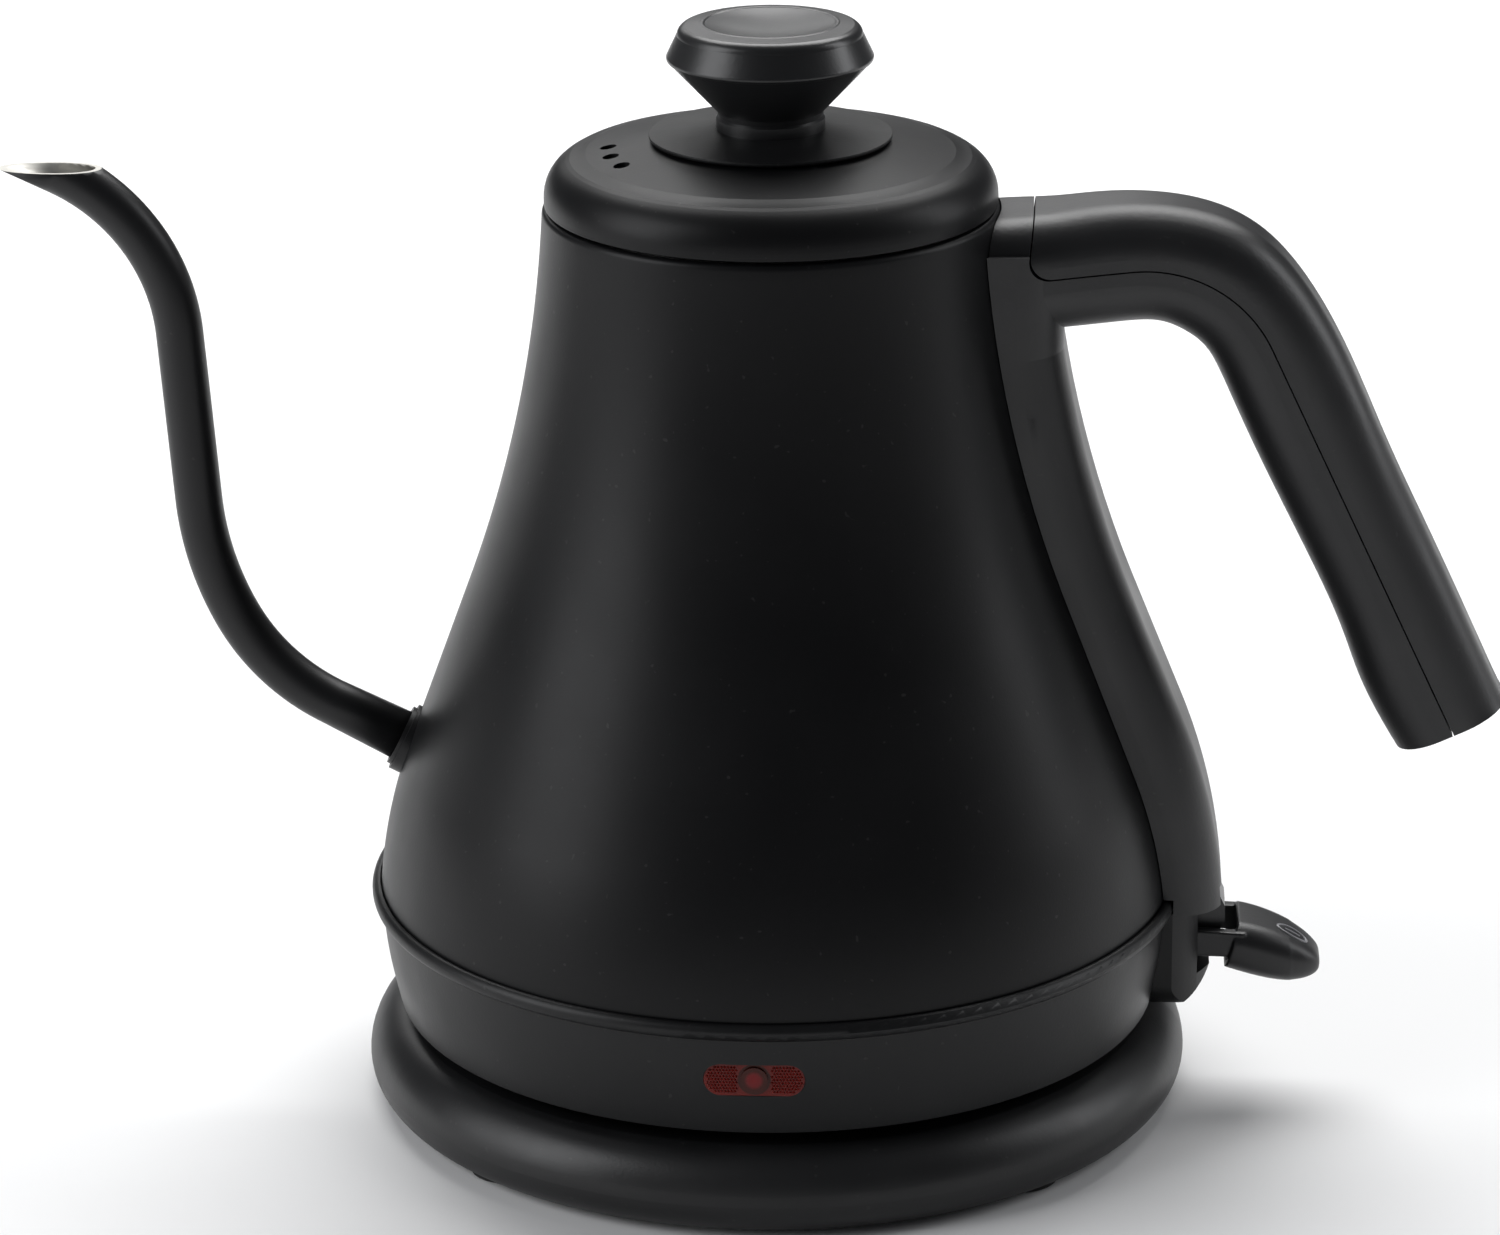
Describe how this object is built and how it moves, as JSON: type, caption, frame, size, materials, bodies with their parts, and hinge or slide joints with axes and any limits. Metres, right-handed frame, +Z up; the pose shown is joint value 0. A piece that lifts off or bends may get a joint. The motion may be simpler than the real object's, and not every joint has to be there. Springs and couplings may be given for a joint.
{
  "type": "electric gooseneck kettle",
  "caption": "Electric pour-over kettle with flared body, swan-neck spout, open handle, lift-off knobbed lid and thumb lever switch, standing on a round power base it lifts off and turns on",
  "frame": {"origin": "on the axis of the power base, level with the underside of its rubber feet; the plastic bottom plate lies 1.5 mm above", "axes": "+Z up; -X the way the spout points; +X the way the handle points; -Y the side with the signal lamp; +Y the side with the cord inlet"},
  "size_m": [0.2946, 0.1646, 0.2181],
  "materials": {
    "coated_steel": "satin black baked coating on thin steel",
    "bare_steel": "plain brushed stainless",
    "handle_plastic": "fine satin black moulding",
    "housing_plastic": "satin black moulding",
    "connector_plastic": "plain dark grey moulding",
    "contact_brass": "plain brass contacts",
    "heater_metal": "cast and drawn metal, dull",
    "rubber": "soft dull rubber",
    "silicone": "pale silicone",
    "red_lens": "dark red tinted lens",
    "lamp_glass": "small neon bulb"
  },
  "bodies": {
    "power_base": {"base_shell": "housing_plastic", "base_plate": "housing_plastic", "base_foot_1": "rubber", "base_foot_2": "rubber", "base_foot_3": "rubber", "base_foot_4": "rubber", "base_screws": "bare_steel", "base_socket": "connector_plastic", "base_terminals": "contact_brass", "cord_inlet": "housing_plastic"},
    "coupler": {"coupler_housing": "connector_plastic", "coupler_pin": "contact_brass", "coupler_ring_inner": "contact_brass", "coupler_ring_outer": "contact_brass"},
    "kettle": {"skirt": "housing_plastic", "bottom_cover": "housing_plastic", "cover_screws": "bare_steel", "switch_module": "housing_plastic", "switch_bracket": "housing_plastic", "lever_pin": "bare_steel", "indicator_lens": "red_lens", "indicator_lamp": "lamp_glass", "lamp_holder": "connector_plastic", "body_shell": "coated_steel", "floor_pan": "bare_steel", "heater_plate": "heater_metal", "heating_element": "heater_metal", "element_pin_left": "bare_steel", "element_pin_right": "bare_steel", "thermostat_control": "connector_plastic", "control_disc": "bare_steel", "spout_tube": "coated_steel", "spout_collar": "coated_steel", "spout_filter": "bare_steel", "handle_frame": "handle_plastic", "handle_cover": "handle_plastic", "handle_screw_upper": "bare_steel", "handle_screw_lower": "bare_steel", "handle_bracket": "bare_steel", "spine_bracket": "bare_steel", "steam_tube": "silicone"},
    "lever": {"switch_lever": "handle_plastic"},
    "lid_ring": {"lid_seal": "silicone"},
    "lid": {"lid_shell": "coated_steel", "lid_cup": "bare_steel", "knob_flange": "handle_plastic", "knob": "handle_plastic", "knob_screw": "bare_steel", "knob_washer": "bare_steel"}
  },
  "joints": [
    {"name": "kettle_lift", "type": "slide", "parent": "power_base", "child": "coupler", "axis": [0, 0, 1], "range_m": [0, 0.08]},
    {"name": "kettle_turn", "type": "hinge", "parent": "coupler", "child": "kettle", "pos_m": [0, 0, 0.03], "axis": [0, 0, 1], "continuous": true},
    {"name": "lid_lift", "type": "slide", "parent": "kettle", "child": "lid_ring", "axis": [0, 0, 1], "range_m": [0, 0.06]},
    {"name": "lid_turn", "type": "hinge", "parent": "lid_ring", "child": "lid", "pos_m": [0, 0, 0.176], "axis": [0, 0, 1], "continuous": true},
    {"name": "lever_press", "type": "hinge", "parent": "kettle", "child": "lever", "pos_m": [0.079, 0, 0.0328], "axis": [0, 1, 0], "range_deg": [0, 10]}
  ]
}
